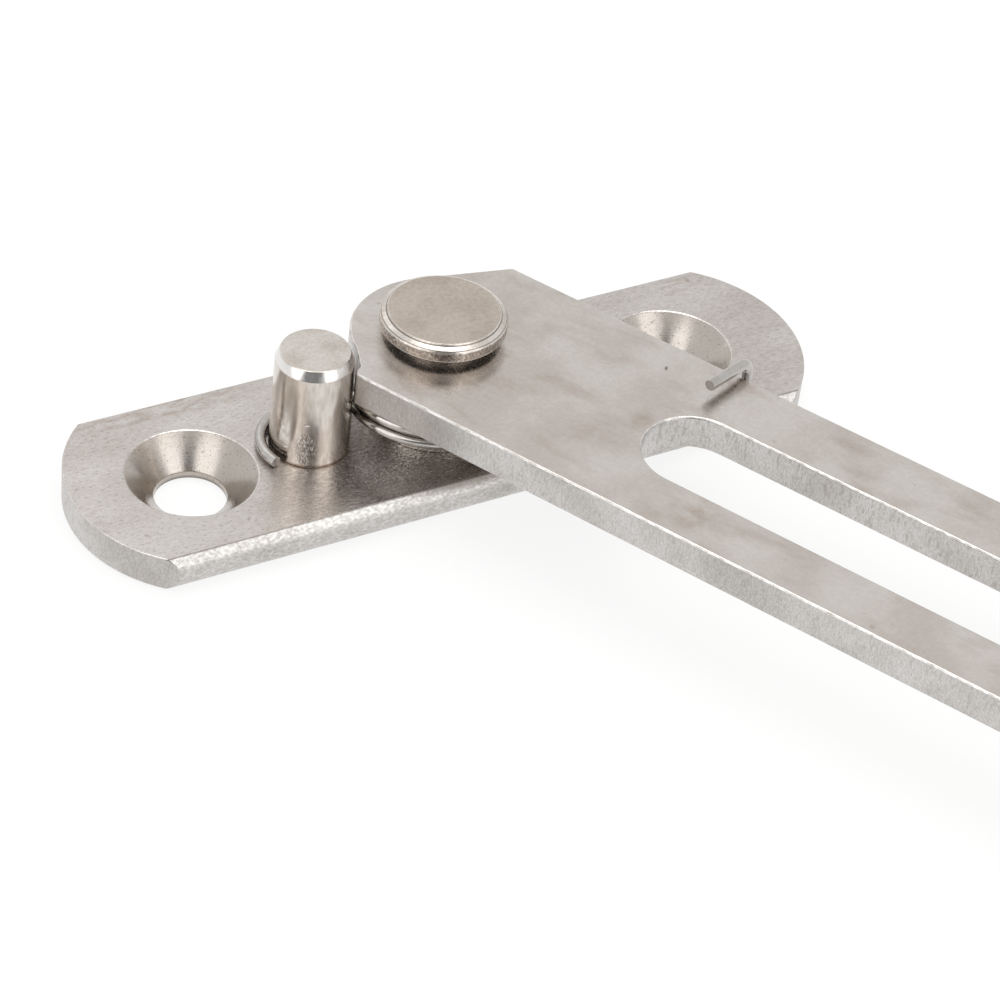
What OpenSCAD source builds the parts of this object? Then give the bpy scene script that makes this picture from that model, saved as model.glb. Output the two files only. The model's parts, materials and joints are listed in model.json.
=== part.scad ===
// Window restrictor: an arm that swings on a base plate, held against a stop pin by a torsion spring.
// Millimetres. Z = 0 is the plate's underside and the origin is the middle of the two screw holes.
// The arm's own outline is drawn along +X with the pivot at its origin, then turned to its rest angle.

/* [Base plate] */
// thickness of the plate and of the arm, cut from one gauge of strip
stock_t = 2.5; // [1.5:0.1:4]
// plate width over its rolled edges
plate_w = 15.8; // [14:0.2:24]
// how far each rolled edge stands out at half thickness
edge_bulge = 0.6; // [0.1:0.05:1]
// origin to the left end of the plate
plate_left = 26.5; // [24:0.5:40]
// origin to the right end of the plate
plate_right = 27.7; // [24:0.1:40]
// radius of the arc that both ends are blanked to
end_r = 9.7; // [9:0.1:20]

/* [Screw holes] */
// origin to each hole
hole_x = 18.2; // [17:0.1:19]
// bore under the countersink
hole_d = 4.8; // [3:0.1:5]
// countersink across the plate's top face
csk_d = 8.8; // [6:0.1:9]
// straight wall left under the 90 degree cone
csk_land = 0.55; // [0.1:0.05:0.8]

/* [Pivot] */
// pivot axis from the origin
pivot_x = -0.3; // [-1:0.1:1]
// journal that the arm turns on
journal_d = 6; // [4:0.1:6.5]
// radial clearance of the arm and of the bush on the journal
run_gap = 0.05; // [0.03:0.01:0.1]
// rivet head over its rim
head_d = 8.54; // [7.5:0.02:10]
// rivet head's flat top
head_flat_d = 7.45; // [5:0.05:8]
// rivet head's thickness
head_h = 1.4; // [1:0.1:3]
// height that the head's rim is undercut by
head_undercut = 0.4; // [0.2:0.05:0.5]
// end play between the arm and the head
head_play = 0.45; // [0.2:0.05:1]
// spacer bush outside diameter
bush_d = 9.2; // [8:0.1:9.5]

/* [Stop pin] */
// pin where it meets the plate
pin_base_d = 5.44; // [5:0.02:5.5]
// pin under its chamfer
pin_top_d = 5.22; // [4.5:0.02:5.3]
// pin above the arm's top face
pin_over = 1.1; // [0.2:0.1:4]
// height of the chamfer round the pin's top
pin_chamfer_h = 0.7; // [0.2:0.1:1.5]
// width of that chamfer
pin_chamfer_w = 0.3; // [0.1:0.02:0.8]
// ledge that the pin stands on round its stem
pin_ledge = 0.65; // [0.3:0.05:1]

/* [Riveted tails] */
// how far both tails spread round their stems
tail_flare = 0.9; // [0.3:0.1:1.2]
// depth of the countersinks that they fill
tail_h = 0.7; // [0.3:0.1:1.2]
// how far they lie inside the plate's underside
tail_in = 0.04; // [0.02:0.01:0.2]
// clearance of both rivets in their holes
tail_gap = 0.03; // [0.01:0.01:0.1]

/* [Arm] */
// arm's underside above the plate
arm_gap = 4.1; // [3.8:0.1:5]
// pivot to the edge that the shoulder is on
near_edge = 7.45; // [7.2:0.05:8]
// pivot to the edge that the spring hooks over
far_edge = 9.1; // [8.6:0.1:10]
// radius of the head round the pivot
head_r = 6.15; // [5.8:0.05:6.25]
// direction of the head's straight flank, as the angle of its normal from the arm
flank_a = 140.7; // [130:0.1:150]
// clearance of the stop shoulder from the pin at rest
rest_gap = 0.08; // [0.03:0.01:0.3]
// radius of the shoulder's corner
shoulder_r = 0.5; // [0.2:0.05:0.8]
// depth of the notch beside the shoulder
notch_depth = 0.85; // [0.4:0.05:1]
// direction from the pivot in which the notch meets the head, from the arm
notch_a = 238; // [232:1:242]
// angle from the plate that the arm rests at
rest_a = -62.45; // [-64:0.05:-61]
// pivot to the arm's far tip
arm_reach = 120; // [60:1:250]

/* [Slot] */
// width of the slot for the sash stud
slot_w = 7; // [4:0.1:8]
// pivot to the centre of the slot's near round end
slot_start = 19.6; // [19:0.1:30]
// slot centre line from the pivot, towards the hooked edge
slot_off = 0.45; // [0:0.05:1]
// metal left between the slot and the arm's tip
slot_web = 7; // [5:0.5:30]

/* [Spring] */
// wire diameter
wire_d = 0.76; // [0.5:0.02:0.86]
// mean radius of the coil
coil_r = 5.9; // [5.7:0.05:5.95]
// rise of the coil each turn
coil_pitch = 0.9; // [0.88:0.01:1]
// whole turns before the legs part
coil_turns = 2; // [1:1:2]
// sideways rest of the coil on the pivot
coil_shift = 0.28; // [0:0.02:0.3]
// clearance between the coil and the stop pin
coil_gap = 0.11; // [0.1:0.01:0.5]
// height of the coil's first turn above the plate, at the wire's centre
coil_rise = 1.25; // [0.8:0.05:1.3]
// pivot to the hook, along the arm
hook_x = 17.75; // [15:0.25:30]
// length of the hook over the arm
hook_len = 3.9; // [2:0.1:6]
// angle round the pin at which the wire ends
wrap_end = 206; // [150:1:220]

/* [Hidden] */
$fn = 96;
e = 0.01;
steel = [0.76, 0.74, 0.71];
spring_steel = [0.80, 0.79, 0.77];

arm_z = stock_t + arm_gap;
arm_top = arm_z + stock_t;
arm_w = near_edge + far_edge;
arm_mid = (far_edge - near_edge) / 2;
tip_r = arm_w / 2;
slot_end = arm_reach - slot_web - slot_w / 2;
edge_r = (stock_t * stock_t / 4 + edge_bulge * edge_bulge) / (2 * edge_bulge);
stop_dist = coil_r + coil_shift + wire_d / 2 + coil_gap + pin_base_d / 2;
stop_x = pivot_x - stop_dist;
pin_h = arm_gap + stock_t + pin_over;
pin_foot = 0.15;
pin_wall_h = pin_h - pin_chamfer_h - pin_foot;
pin_stem_d = pin_base_d - 2 * pin_ledge;
arm_play = 0.08;
bush_h = arm_gap - arm_play;
wrap_gap = 0.08;
wrap_open = 0.32;
wrap_r = pin_base_d / 2 + wire_d / 2 + wrap_gap;
coil_c = [pivot_x - coil_shift, coil_shift * 0.6];
notch_y = -near_edge + notch_depth;
notch_lean = 0.1;

// Helpers for outlines

function unit(v) = v / norm(v);
function polar(r, a) = [r * cos(a), r * sin(a)];
function turned(p, a) = [p.x * cos(a) - p.y * sin(a), p.x * sin(a) + p.y * cos(a)];

// Centre and tangent points of a radius r set into the corner b between a and c.
function corner_half(a, b, c) = acos(unit(a - b) * unit(c - b)) / 2;
function corner_centre(a, b, c, r) = b + unit(unit(a - b) + unit(c - b)) * r / sin(corner_half(a, b, c));
function corner_start(a, b, c, r) = b + unit(a - b) * r / tan(corner_half(a, b, c));

// Takes the sharp point off the outline's corner b and puts a true arc there.
module eased_corner(a, b, c, r) {
    o = corner_centre(a, b, c, r);
    difference() {
        children();
        polygon([b + unit(b - o) * 0.3, corner_start(a, b, c, r), o, corner_start(c, b, a, r)]);
    }
    translate(o) circle(r = r);
}

// Base plate

// Across the strip: flat faces between two rolled edges.
module strip_section() {
    intersection() {
        square([plate_w + 1, stock_t], center = true);
        union() {
            square([plate_w - 2 * edge_r, stock_t], center = true);
            for (s = [-1, 1])
                translate([s * (plate_w / 2 - edge_r), 0]) circle(r = edge_r);
        }
    }
}

module plate_outline() {
    xl = -plate_left + end_r;
    xr = plate_right - end_r;
    translate([xl, -end_r]) square([xr - xl, 2 * end_r]);
    translate([xl, 0]) circle(r = end_r, $fn = 160);
    translate([xr, 0]) circle(r = end_r, $fn = 160);
}

module countersunk_hole() {
    cone_h = stock_t - csk_land;
    translate([0, 0, -e]) cylinder(d = hole_d, h = stock_t + 2 * e);
    translate([0, 0, csk_land]) cylinder(d1 = hole_d, d2 = csk_d, h = cone_h);
    translate([0, 0, stock_t]) cylinder(d = csk_d, h = 1);
}

// Hole for a rivet's stem of diameter d, with a countersink below that the rivet's tail fills.
module rivet_hole(d) {
    bore_r = d / 2 + tail_gap;
    translate([0, 0, -e]) cylinder(r = bore_r, h = stock_t + 2 * e);
    translate([0, 0, -e]) cylinder(r = bore_r + tail_flare, h = tail_in + e);
    translate([0, 0, tail_in]) cylinder(r1 = bore_r + tail_flare, r2 = bore_r, h = tail_h);
}

module base_plate() {
    color(steel)
    difference() {
        intersection() {
            translate([-plate_left - 1, 0, stock_t / 2])
                rotate([90, 0, 90])
                linear_extrude(height = plate_left + plate_right + 2) strip_section();
            translate([0, 0, -1]) linear_extrude(height = stock_t + 2) plate_outline();
        }
        for (s = [-1, 1])
            translate([s * hole_x, 0, 0]) countersunk_hole();
        translate([pivot_x, 0, 0]) rivet_hole(journal_d);
        translate([stop_x, 0, 0]) rivet_hole(pin_stem_d);
    }
}

// Turned pieces

// Lower end of a rivet whose stem has radius r, as the start of its profile.
function riveted_tail(r) = [
    [0, tail_in],
    [r + tail_flare, tail_in],
    [r, tail_in + tail_h]
];

module stop_pin() {
    r0 = pin_base_d / 2;
    r1 = pin_top_d / 2;
    zf = stock_t + pin_foot;
    zc = zf + pin_wall_h;
    color(steel)
    translate([stop_x, 0, 0]) rotate_extrude()
        polygon(concat(riveted_tail(pin_stem_d / 2), [
            [pin_stem_d / 2, stock_t],
            [r0 - pin_foot * 0.8, stock_t],
            [r0, zf],
            [r1, zc],
            [r1 - pin_chamfer_w, zc + pin_chamfer_h],
            [0, zc + pin_chamfer_h]
        ]));
}

// Head with an undercut rim, an upright wall, a sloping ring and a small step up to its flat top.
module pivot_rivet() {
    z0 = arm_top + head_play;
    r = head_d / 2;
    rf = head_flat_d / 2;
    color(steel)
    translate([pivot_x, 0, 0]) rotate_extrude()
        polygon(concat(riveted_tail(journal_d / 2), [
            [journal_d / 2, z0],
            [r - head_undercut, z0],
            [r, z0 + head_undercut],
            [r, z0 + head_h * 0.68],
            [r - (r - rf) * 0.2, z0 + head_h * 0.8],
            [r - (r - rf) * 0.75, z0 + head_h * 0.9],
            [rf, z0 + head_h],
            [0, z0 + head_h]
        ]));
}

module spacer_bush() {
    color(steel)
    translate([pivot_x, 0, stock_t])
    difference() {
        cylinder(d = bush_d, h = bush_h);
        translate([0, 0, -1]) cylinder(d = journal_d + 2 * run_gap, h = bush_h + 2);
    }
}

// Arm

// The straight sides run on into the head's round, so that each crosses it and doesn't just touch.
flank_r = head_r - 0.02;
flank_point = polar(flank_r, flank_a);
back_corner = [(flank_r - far_edge * sin(flank_a)) / cos(flank_a), far_edge];

// The shoulder's round corner meets the pin at the rest angle, with its clearance, at the arm's underside.
stop_at = turned([-stop_dist, 0], -rest_a);
stop_r = (pin_base_d - (pin_base_d - pin_top_d) * (arm_gap - pin_foot) / pin_wall_h) / 2;
corner_in = corner_centre([-notch_lean, notch_depth], [0, 0], [1, 0], shoulder_r);
reach = stop_r + rest_gap + shoulder_r;
shoulder_x = stop_at.x + sqrt(reach ^ 2 - (corner_in.y - near_edge - stop_at.y) ^ 2) - corner_in.x;
shoulder = [shoulder_x, -near_edge];
notch_root = [shoulder_x - notch_lean, notch_y];
head_foot = notch_root + (polar(head_r, notch_a) - notch_root) * 1.1;
near_end = [arm_reach - tip_r, -near_edge];
far_end = [arm_reach - tip_r, far_edge];

module arm_outline() {
    difference() {
        union() {
            eased_corner(notch_root, shoulder, near_end, shoulder_r)
            eased_corner(far_end, back_corner, flank_point, 0.45)
                polygon([flank_point, head_foot, notch_root, shoulder, near_end, far_end, back_corner]);
            circle(r = head_r);
            translate([arm_reach - tip_r, arm_mid]) circle(r = tip_r);
        }
        circle(d = journal_d + 2 * run_gap);
        slot_outline();
    }
}

module slot_outline() {
    translate([slot_start, slot_off]) {
        circle(d = slot_w);
        translate([slot_end - slot_start, 0]) circle(d = slot_w);
        translate([0, -slot_w / 2]) square([slot_end - slot_start, slot_w]);
    }
}

module arm() {
    color(steel)
    translate([pivot_x, 0, arm_z])
        rotate(rest_a)
        linear_extrude(height = stock_t) arm_outline();
}

// Torsion spring: from its end, round the pin, up the coil, under the arm and over its edge

// Angle of the outside tangent to two circles that are d apart, r1 the first and r2 the second.
function belt_angle(d, r1, r2) = acos((r1 - r2) / d);

pin_c = [stop_x, 0];
leave_a = belt_angle(norm(coil_c - pin_c), wrap_r, coil_r) + atan2(coil_c.y - pin_c.y, coil_c.x - pin_c.x);
hook_y = far_edge + wire_d / 2 + 0.2;
hook_at = [pivot_x, 0] + turned([hook_x, hook_y], rest_a);
hook_tip = [pivot_x, 0] + turned([hook_x - 0.5, hook_y - hook_len], rest_a);
hook_off = hook_at - coil_c;
meet_a = atan2(hook_off.y, hook_off.x) + acos(coil_r / norm(hook_off));
coil_end = meet_a - 360 * coil_turns;

low_z = stock_t + wire_d / 2 + 0.03;
first_z = stock_t + coil_rise;
last_z = first_z + coil_pitch * (leave_a - coil_end) / 360;
over_z = arm_top + wire_d / 2 + 0.15;
step = 7.5;

function lift(p, z) = [p.x, p.y, z];
function ease(t) = t * t * (3 - 2 * t);

// Arc of radius r set into the corner b of a path in space.
function bend(a, b, c, r, n = 6) =
    let (o = corner_centre(a, b, c, r),
         u = unit(corner_start(a, b, c, r) - o),
         v = unit(corner_start(c, b, a, r) - o),
         w = acos(u * v))
    [for (i = [0 : n]) o + r * (sin(w * (1 - i / n)) * u + sin(w * i / n) * v) / sin(w)];

// The end springs open a little from the pin.
wrap_n = ceil((wrap_end - leave_a) / step);
wrap = [for (i = [0 : wrap_n])
    let (t = 1 - i / wrap_n)
    lift(pin_c + polar(wrap_r + wrap_open * t * t, leave_a + (wrap_end - leave_a) * t), low_z)];
coil_n = ceil((leave_a - coil_end) / step);
coil = [for (i = [0 : coil_n])
    let (a = leave_a + (coil_end - leave_a) * i / coil_n)
    lift(coil_c + polar(coil_r, a), first_z + (last_z - first_z) * i / coil_n)];
climb = [for (i = [1 : 7])
    let (t = i / 8, p = wrap[wrap_n], q = coil[0])
    lift(p + (q - p) * t, low_z + (first_z - low_z) * ease(t))];
run_end = lift(hook_at, last_z + 0.1);
hook_top = lift(hook_at, over_z);
hook_nose = lift(hook_tip, over_z + 0.45);
wire_path = concat(
    wrap, climb, coil,
    bend(coil[coil_n], run_end, hook_top, 0.8),
    bend(run_end, hook_top, hook_nose, 0.7),
    [hook_nose]
);

// Round wire swept along a path, each ring square to the path.
module wire(path, d, sides = 14) {
    n = len(path);
    along = [for (i = [0 : n - 1]) unit(path[min(i + 1, n - 1)] - path[max(i - 1, 0)])];
    side = [for (i = 0, s = unit(cross(along[0], [0, 0, 1])); i < n;
        i = i + 1, s = i < n ? unit(s - along[i] * (s * along[i])) : s) s];
    rings = [for (i = [0 : n - 1], k = [0 : sides - 1])
        let (a = 360 * k / sides, up = cross(side[i], along[i]))
        path[i] + d / 2 * (cos(a) * side[i] + sin(a) * up)];
    walls = [for (i = [0 : n - 2], k = [0 : sides - 1])
        let (m = (k + 1) % sides)
        [i * sides + k, i * sides + m, (i + 1) * sides + m, (i + 1) * sides + k]];
    first = [for (k = [0 : sides - 1]) sides - 1 - k];
    last = [for (k = [0 : sides - 1]) (n - 1) * sides + k];
    polyhedron(points = rings, faces = concat([first], walls, [last]), convexity = 10);
}

module torsion_spring() {
    color(spring_steel) wire(wire_path, wire_d);
}

base_plate();
stop_pin();
pivot_rivet();
spacer_bush();
torsion_spring();
arm();
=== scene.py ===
"""Window restrictor: the finish of its plate, pin, rivet, bush, spring and arm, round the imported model."""

import json
import math

import bpy
from mathutils import Matrix, Vector


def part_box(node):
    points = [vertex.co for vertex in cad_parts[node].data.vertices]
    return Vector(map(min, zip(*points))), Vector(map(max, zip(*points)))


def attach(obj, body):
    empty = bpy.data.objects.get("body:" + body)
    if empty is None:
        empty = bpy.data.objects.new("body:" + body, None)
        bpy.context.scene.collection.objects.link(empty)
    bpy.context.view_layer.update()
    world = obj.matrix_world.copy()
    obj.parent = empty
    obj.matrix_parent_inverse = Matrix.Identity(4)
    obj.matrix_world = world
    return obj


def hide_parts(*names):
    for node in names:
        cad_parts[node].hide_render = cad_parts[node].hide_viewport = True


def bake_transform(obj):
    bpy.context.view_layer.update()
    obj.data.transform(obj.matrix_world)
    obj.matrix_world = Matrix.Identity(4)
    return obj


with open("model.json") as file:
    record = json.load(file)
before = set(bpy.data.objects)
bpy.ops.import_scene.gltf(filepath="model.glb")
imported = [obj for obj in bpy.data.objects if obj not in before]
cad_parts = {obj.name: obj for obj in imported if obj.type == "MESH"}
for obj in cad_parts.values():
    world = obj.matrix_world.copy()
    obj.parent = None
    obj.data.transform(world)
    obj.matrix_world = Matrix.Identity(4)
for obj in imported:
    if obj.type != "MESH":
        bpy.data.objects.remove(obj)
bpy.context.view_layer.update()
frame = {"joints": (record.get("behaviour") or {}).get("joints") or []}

bl_info = {
    "name": "Window Restrictor",
    "version": (1, 0, 0),
    "blender": (4, 5, 0),
    "location": "3D View > Sidebar > Restrictor",
    "description": "Models and finishes the pieces of a spring-loaded window restrictor",
    "category": "Object",
}

# Pieces are modelled in millimetres, where bevels and cuts keep their precision, and then brought to metres.
MM = 0.001

PLATE_LOW, PLATE_HIGH = (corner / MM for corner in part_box("base_plate"))
PIN_LOW, PIN_HIGH = (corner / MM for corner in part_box("stop_pin"))
RIVET_LOW, RIVET_HIGH = (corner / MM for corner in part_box("pivot_rivet"))
BUSH_LOW, BUSH_HIGH = (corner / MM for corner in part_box("spacer_bush"))
ARM_LOW, ARM_HIGH = (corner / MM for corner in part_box("arm"))
PIVOT = Vector(frame["joints"][0]["pos_m"]) / MM
PIN = (PIN_LOW + PIN_HIGH) / 2
STOCK = PLATE_HIGH.z - PLATE_LOW.z
STOP_DISTANCE = PIVOT.x - PIN.x
PIN_RADIUS = (PIN_HIGH.x - PIN_LOW.x) / 2

# A drill or a blank reaches this far past the metal that it cuts.
OVERCUT = 1
# A face is flat where its normal points up or down by more than FLAT, and a wall where by less than WALL.
FLAT, WALL = 0.93, 0.4


def linear(code):
    """Turns an sRGB hex colour into the linear one that shaders take."""
    parts = [int(code[i : i + 2], 16) / 255 for i in (1, 3, 5)]
    return [p / 12.92 if p <= 0.04045 else ((p + 0.055) / 1.055) ** 2.4 for p in parts]


def length(name, millimetres, description):
    """A size that a user may change, shown in the scene's own units."""
    return bpy.props.FloatProperty(
        name=name, description=description, default=millimetres * MM, unit="LENGTH", precision=5
    )


def angle(name, degrees, description):
    """An angle that a user may change."""
    return bpy.props.FloatProperty(
        name=name, description=description, default=math.radians(degrees), subtype="ANGLE"
    )


def colour(name, code, description):
    """A colour that a user may change."""
    return bpy.props.FloatVectorProperty(
        name=name, description=description, default=linear(code), subtype="COLOR", min=0, max=1
    )


class RestrictorPlateSizes(bpy.types.PropertyGroup):
    """Sizes of the base plate that its box doesn't give."""

    edge_bulge: length("Rolled edge", 0.6, "How far each long edge stands out at half thickness")
    end_radius: length("End radius", 9.7, "Radius of the arc that both ends are blanked to")
    hole_x: length("Hole distance", 18.2, "From the origin to each screw hole")
    hole_bore: length("Hole bore", 4.8, "Bore under the countersink")
    hole_mouth: length("Countersink", 8.8, "Countersink across the plate's top face")
    hole_land: length("Straight wall", 0.55, "Straight wall left under the countersink")
    edge_break: length("Edge break", 0.09, "Softening that tumbling leaves on sharp edges")


class RestrictorTurnedSizes(bpy.types.PropertyGroup):
    """Sizes of the stop pin, the pivot rivet and the spacer bush that their boxes don't give."""

    pin_base: length("Pin at the plate", 5.44, "Diameter of the pin where it meets the plate")
    pin_top: length("Pin under its chamfer", 5.22, "Diameter of the pin under its chamfer")
    pin_ledge: length("Pin ledge", 0.65, "Ledge that the pin stands on round its stem")
    chamfer_height: length("Chamfer height", 0.7, "Height of the chamfer round the pin's top")
    chamfer_width: length("Chamfer width", 0.3, "Width of the chamfer round the pin's top")
    journal: length("Journal", 6.0, "Diameter that the arm turns on")
    head_flat: length("Head flat", 7.45, "Diameter of the rivet head's flat top")
    head_height: length("Head height", 1.4, "Thickness of the rivet's head")
    head_undercut: length("Head undercut", 0.3, "Height that the head's rim is undercut by")
    tail_flare: length("Tail flare", 0.9, "How far both riveted tails spread round their stems")
    tail_depth: length("Tail depth", 0.7, "Depth of the countersinks that the tails fill")
    tail_gap: length("Tail gap", 0.03, "Radial gap between a riveted tail and the plate")
    running_gap: length("Running gap", 0.05, "Radial clearance on the journal")


class RestrictorArmSizes(bpy.types.PropertyGroup):
    """Sizes of the arm, measured from the pivot and along the arm."""

    rest_angle: angle("Rest angle", -62.45, "Direction of the arm at rest, from the plate")
    near_edge: length("Near edge", 7.45, "Pivot to the edge that the shoulder is on")
    far_edge: length("Far edge", 9.1, "Pivot to the edge that the spring hooks over")
    head_radius: length("Head radius", 6.15, "Radius of the head round the pivot")
    flank_angle: angle("Flank angle", 140.7, "Direction of the flank's normal, from the arm")
    notch_angle: angle("Notch angle", 238, "Direction in which the notch meets the head, from the arm")
    notch_depth: length("Notch depth", 0.85, "Depth of the notch beside the shoulder")
    notch_lean: length("Notch lean", 0.1, "How far the notch leans away from the shoulder")
    shoulder_radius: length("Shoulder radius", 0.5, "Round corner of the shoulder that meets the pin")
    back_radius: length("Back radius", 0.45, "Round corner between the flank and the hooked edge")
    rest_gap: length("Rest gap", 0.08, "Shoulder to pin at rest")
    reach: length("Reach", 120, "Pivot to the arm's far tip")
    slot_width: length("Slot width", 7.0, "Width of the slot for the sash stud")
    slot_start: length("Slot start", 19.6, "Pivot to the centre of the slot's near round end")
    slot_offset: length("Slot offset", 0.45, "Slot centre line from the pivot, to the hooked edge")
    slot_web: length("Tip web", 7.0, "Metal left between the slot and the tip")
    edge_break: length("Edge break", 0.16, "Rounding that blanking and tumbling leave on the edges")


class RestrictorSpringSizes(bpy.types.PropertyGroup):
    """Sizes of the torsion spring."""

    wire: length("Wire", 0.76, "Diameter of the wire")
    coil_radius: length("Coil radius", 5.9, "Mean radius of the coil")
    pitch: length("Pitch", 0.9, "Rise of the coil each turn")
    turns: bpy.props.IntProperty(
        name="Turns", description="Whole turns before the legs part", default=2, min=1, max=4
    )
    shift_back: length("Coil shift", 0.28, "How far the coil rests off the pivot, towards the pin")
    shift_aside: length("Coil shift aside", 0.168, "How far the coil rests off the pivot, to the far edge")
    rise: length("Coil rise", 1.25, "First turn's height over the plate, at the wire's centre")
    run_rise: length("Run rise", 0.1, "Rise of the straight run from the coil to the hook")
    hook_at: length("Hook place", 17.75, "Pivot to the hook, along the arm")
    hook_length: length("Hook length", 3.9, "Length of the hook over the arm")
    hook_splay: length("Hook splay", 0.5, "How far the hook's end turns back to the pivot")
    hook_rise: length("Hook rise", 0.45, "How far the hook's end stands up")
    hook_beside: length("Gap beside the arm", 0.2, "Wire to the arm's edge")
    hook_over: length("Gap over the arm", 0.15, "Wire to the arm's top")
    bend_up: length("Bend up", 0.8, "Radius that places the centre of the bend beside the arm")
    bend_over: length("Bend over", 0.7, "Radius that places the centre of the bend over the arm")
    foot_gap: length("Gap over the plate", 0.03, "Wire to the plate where it wraps the pin")
    wrap_gap: length("Gap round the pin", 0.08, "Wire to the pin")
    wrap_open: length("Wrap opening", 0.32, "How far the wire's end springs off the pin")
    wrap_end: angle("Wrap end", 206, "Direction round the pin in which the wire ends")


class RestrictorFinish(bpy.types.PropertyGroup):
    """Colours of the stainless steel as its makers leave it; some also serve as painted shade and painted
    light.
    """

    strip: colour("Strip", "#D5D1CE", "Tumbled stainless strip")
    strip_warm: colour("Strip, warm", "#B9B0AA", "Where tumbling has left a brown cast")
    sheet: colour("Sheet", "#D3CEC9", "Tumbled stainless sheet")
    sheet_warm: colour("Sheet, warm", "#BDB4AD", "The sheet's darker cast")
    stain: colour("Stain", "#94806E", "Tea stains on the plate and the arm")
    # Crease is dirt in pits, tears, dashes and scratches, and painted shade along the top of the rolled edge,
    # down the bores, in the rivet head's steps and on the nick's upper lip.
    crease: colour("Crease", "#766E67", "Dirt left in creases and in the bores")
    # Grime, with painted shade, in the notch that meets the pin, where its walls face the pin's dark side.
    notch_dirt_and_shade: colour("Dirt", "#554D46", "Dirt in the notch that meets the pin")
    sheared_dark: colour("Sheared edge, dark", "#AEA9A4", "Between the tears of blanked edges")
    sheared: colour("Sheared edge", "#D6D4D2", "Fresh metal of blanked edges")
    # Rubbed is also painted light: along the foot of the rivet's rim, on the nick's lower lip, and in the
    # specks beside the pin, lifting the shade under the arm.
    rubbed: colour("Rubbed edge", "#E6E4E2", "Metal rubbed bright along the edges")
    head: colour("Rivet head", "#C5BBB0", "Pressed and tumbled rivet head")
    head_warm: colour("Rivet head, warm", "#A99D92", "The head's darker speckles")
    turned: colour("Turned", "#DED9D3", "Turned pin")
    turned_warm: colour("Turned, warm", "#BDB3A9", "The pin's darker cast")
    cone: colour("Countersink", "#C0B9B2", "Cone of the screw holes")
    cone_dark: colour("Countersink, dark", "#B0A8A0", "The cone's darker scratches")
    wire: colour("Wire", "#C2BFBC", "Drawn spring wire")


class RestrictorStage(bpy.types.PropertyGroup):
    """The camera and the floor."""

    lens: bpy.props.FloatProperty(
        name="Lens", description="Focal length on a 36 mm sensor", default=120.43, subtype="DISTANCE_CAMERA"
    )
    distance: length("Distance", 219.27, "Camera to the point that it aims at")
    aim_x: length("Aim along the plate", -0.614, "Point of the plate's top that the camera aims at")
    aim_y: length("Aim across the plate", -10.046, "Point of the plate's top that the camera aims at")
    azimuth: angle("Azimuth", -32.597, "How far the camera looks round from +Y")
    elevation: angle("Elevation", 39.819, "How far the camera looks down")
    roll: angle("Roll", 6.941, "Tilt of the picture about the line of sight")
    floor: colour("Floor", "#F4F3F1", "Pale floor")


def in_mm(group):
    """The group's lengths in millimetres and its other values as they are, by name."""
    found = {}
    for key in group.__annotations__:
        value = getattr(group, key)
        is_length = group.bl_rna.properties[key].unit == "LENGTH"
        found[key] = value / MM if is_length else value
    return found


# Modelling


def only(piece):
    """Selects piece and nothing else, and makes it active."""
    bpy.ops.object.select_all(action="DESELECT")
    piece.select_set(True)
    bpy.context.view_layer.objects.active = piece


def settle(piece):
    """Applies the piece's place, turn and scale to its mesh."""
    only(piece)
    bpy.ops.object.transform_apply(location=True, rotation=True, scale=True)
    return piece


def clean(piece):
    """Merges doubles and points the faces outwards."""
    only(piece)
    bpy.ops.object.mode_set(mode="EDIT")
    bpy.ops.mesh.select_all(action="SELECT")
    bpy.ops.mesh.remove_doubles(threshold=0.0005)
    bpy.ops.mesh.select_all(action="SELECT")
    bpy.ops.mesh.normals_make_consistent(inside=False)
    bpy.ops.object.mode_set(mode="OBJECT")
    return piece


def apply_modifier(piece, kind, **settings):
    """Adds one modifier, sets it and applies it."""
    only(piece)
    bpy.ops.object.modifier_add(type=kind)
    modifier = piece.modifiers[-1]
    for key, value in settings.items():
        setattr(modifier, key, value)
    bpy.ops.object.modifier_apply(modifier=modifier.name)


def cut(piece, tool, operation="DIFFERENCE"):
    """Cuts piece with tool, or keeps what both share, and takes the tool away."""
    apply_modifier(piece, "BOOLEAN", object=tool, operation=operation, solver="EXACT")
    bpy.data.objects.remove(tool)


def polar(centre, radius, direction):
    """The point at a distance from centre, in a direction in radians."""
    return Vector(centre) + radius * Vector((math.cos(direction), math.sin(direction)))


def arc(centre, radius, start, end, steps):
    """Points along an arc between two directions."""
    return [polar(centre, radius, start + (end - start) * i / steps) for i in range(steps + 1)]


def eased(before, corner, after, radius, steps=8, drawn=None):
    """The points of a round corner, flat or in space, drawn with its own radius or another one."""
    u = (before - corner).normalized()
    v = (after - corner).normalized()
    half = u.angle(v) / 2
    centre = corner + (u + v).normalized() * radius / math.sin(half)
    start = corner + u * radius / math.tan(half) - centre
    stop = corner + v * radius / math.tan(half) - centre
    return [centre + start.slerp(stop, i / steps) * (drawn or radius) for i in range(steps + 1)]


def traced(name, lines, height=0.0, closed=False, **settings):
    """A body along or inside lines of points, made as a curve with these settings."""
    bpy.ops.curve.primitive_bezier_curve_add(location=(0, 0, height))
    piece = bpy.context.object
    piece.name = name
    shape = piece.data
    shape.splines.clear()
    for key, value in settings.items():
        setattr(shape, key, value)
    for line in lines:
        spline = shape.splines.new("POLY")
        spline.points.add(len(line) - 1)
        for point, place in zip(spline.points, line):
            point.co = (*place.to_3d(), 1)
        spline.use_cyclic_u = closed
    only(piece)
    bpy.ops.object.convert(target="MESH")
    return clean(settle(piece))


def outline_body(name, rings, low, high, edge=0.0):
    """Fills flat outlines, the first outside and the rest holes, between two heights, with round edges."""
    return traced(
        name, rings, (low + high) / 2, closed=True, dimensions="2D", fill_mode="BOTH",
        extrude=(high - low) / 2 - edge, bevel_depth=edge, bevel_resolution=3, offset=-edge,
    )


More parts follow.
